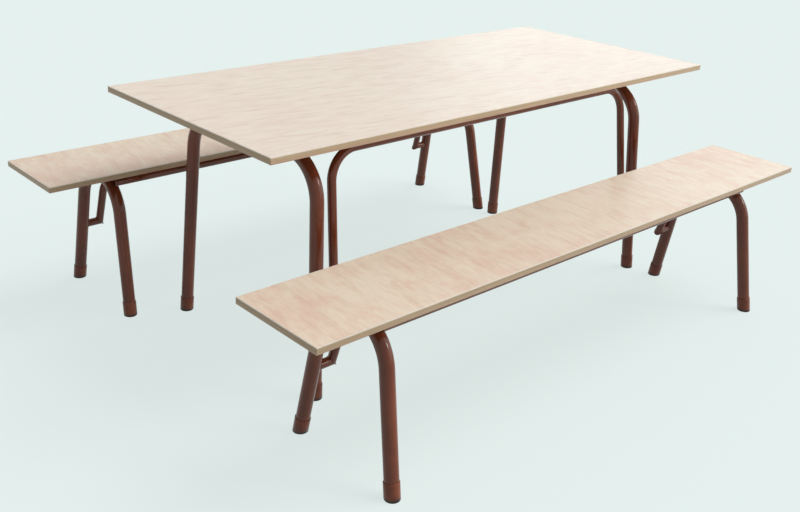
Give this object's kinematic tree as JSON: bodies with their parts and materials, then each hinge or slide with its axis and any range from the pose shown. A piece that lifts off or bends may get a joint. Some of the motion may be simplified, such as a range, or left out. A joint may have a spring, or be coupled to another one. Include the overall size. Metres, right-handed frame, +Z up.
{
  "type": "canteen table with benches",
  "caption": "Rectangular laminate canteen table with loose matching benches along its long sides, on splayed bent-tube steel leg frames tied by slim tube braces.",
  "frame": {"origin": "on the floor, at the middle of the box round the table and both benches", "axes": "+X along the boards, +Y from the front bench to the back bench, +Z up"},
  "size_m": [2.035, 1.6122, 0.74],
  "materials": {
    "laminate": "satin",
    "edge_band": "satin",
    "brown_steel": "gloss",
    "foot_cap": "satin"
  },
  "bodies": {
    "table": {"table_top": "laminate", "table_edge_front": "edge_band", "table_edge_back": "edge_band", "table_edge_left": "edge_band", "table_edge_right": "edge_band", "table_leg_frame_left": "brown_steel", "table_leg_frame_right": "brown_steel", "table_rail_front": "brown_steel", "table_rail_back": "brown_steel", "table_brace": "brown_steel", "table_brace_stub_left": "brown_steel", "table_brace_stub_right": "brown_steel", "table_foot_front_left": "foot_cap", "table_foot_front_right": "foot_cap", "table_foot_back_left": "foot_cap", "table_foot_back_right": "foot_cap"},
    "front_bench": {"front_bench_seat": "laminate", "front_bench_edge_front": "edge_band", "front_bench_edge_back": "edge_band", "front_bench_edge_left": "edge_band", "front_bench_edge_right": "edge_band", "front_bench_leg_frame_left": "brown_steel", "front_bench_leg_frame_right": "brown_steel", "front_bench_rail_front": "brown_steel", "front_bench_rail_back": "brown_steel", "front_bench_bearer_left": "brown_steel", "front_bench_bearer_right": "brown_steel", "front_bench_brace": "brown_steel", "front_bench_brace_stub_left": "brown_steel", "front_bench_brace_stub_right": "brown_steel", "front_bench_foot_front_left": "foot_cap", "front_bench_foot_front_right": "foot_cap", "front_bench_foot_back_left": "foot_cap", "front_bench_foot_back_right": "foot_cap"},
    "back_bench": {"back_bench_seat": "laminate", "back_bench_edge_front": "edge_band", "back_bench_edge_back": "edge_band", "back_bench_edge_left": "edge_band", "back_bench_edge_right": "edge_band", "back_bench_leg_frame_left": "brown_steel", "back_bench_leg_frame_right": "brown_steel", "back_bench_rail_front": "brown_steel", "back_bench_rail_back": "brown_steel", "back_bench_bearer_left": "brown_steel", "back_bench_bearer_right": "brown_steel", "back_bench_brace": "brown_steel", "back_bench_brace_stub_left": "brown_steel", "back_bench_brace_stub_right": "brown_steel", "back_bench_foot_front_left": "foot_cap", "back_bench_foot_front_right": "foot_cap", "back_bench_foot_back_left": "foot_cap", "back_bench_foot_back_right": "foot_cap"}
  },
  "joints": [
    {"name": "front_bench_slide", "type": "slide", "parent": "table", "child": "front_bench", "axis": [0, -1, 0], "range_m": [-0.05, 0.4]},
    {"name": "back_bench_slide", "type": "slide", "parent": "table", "child": "back_bench", "axis": [0, 1, 0], "range_m": [-0.02, 0.4]}
  ]
}
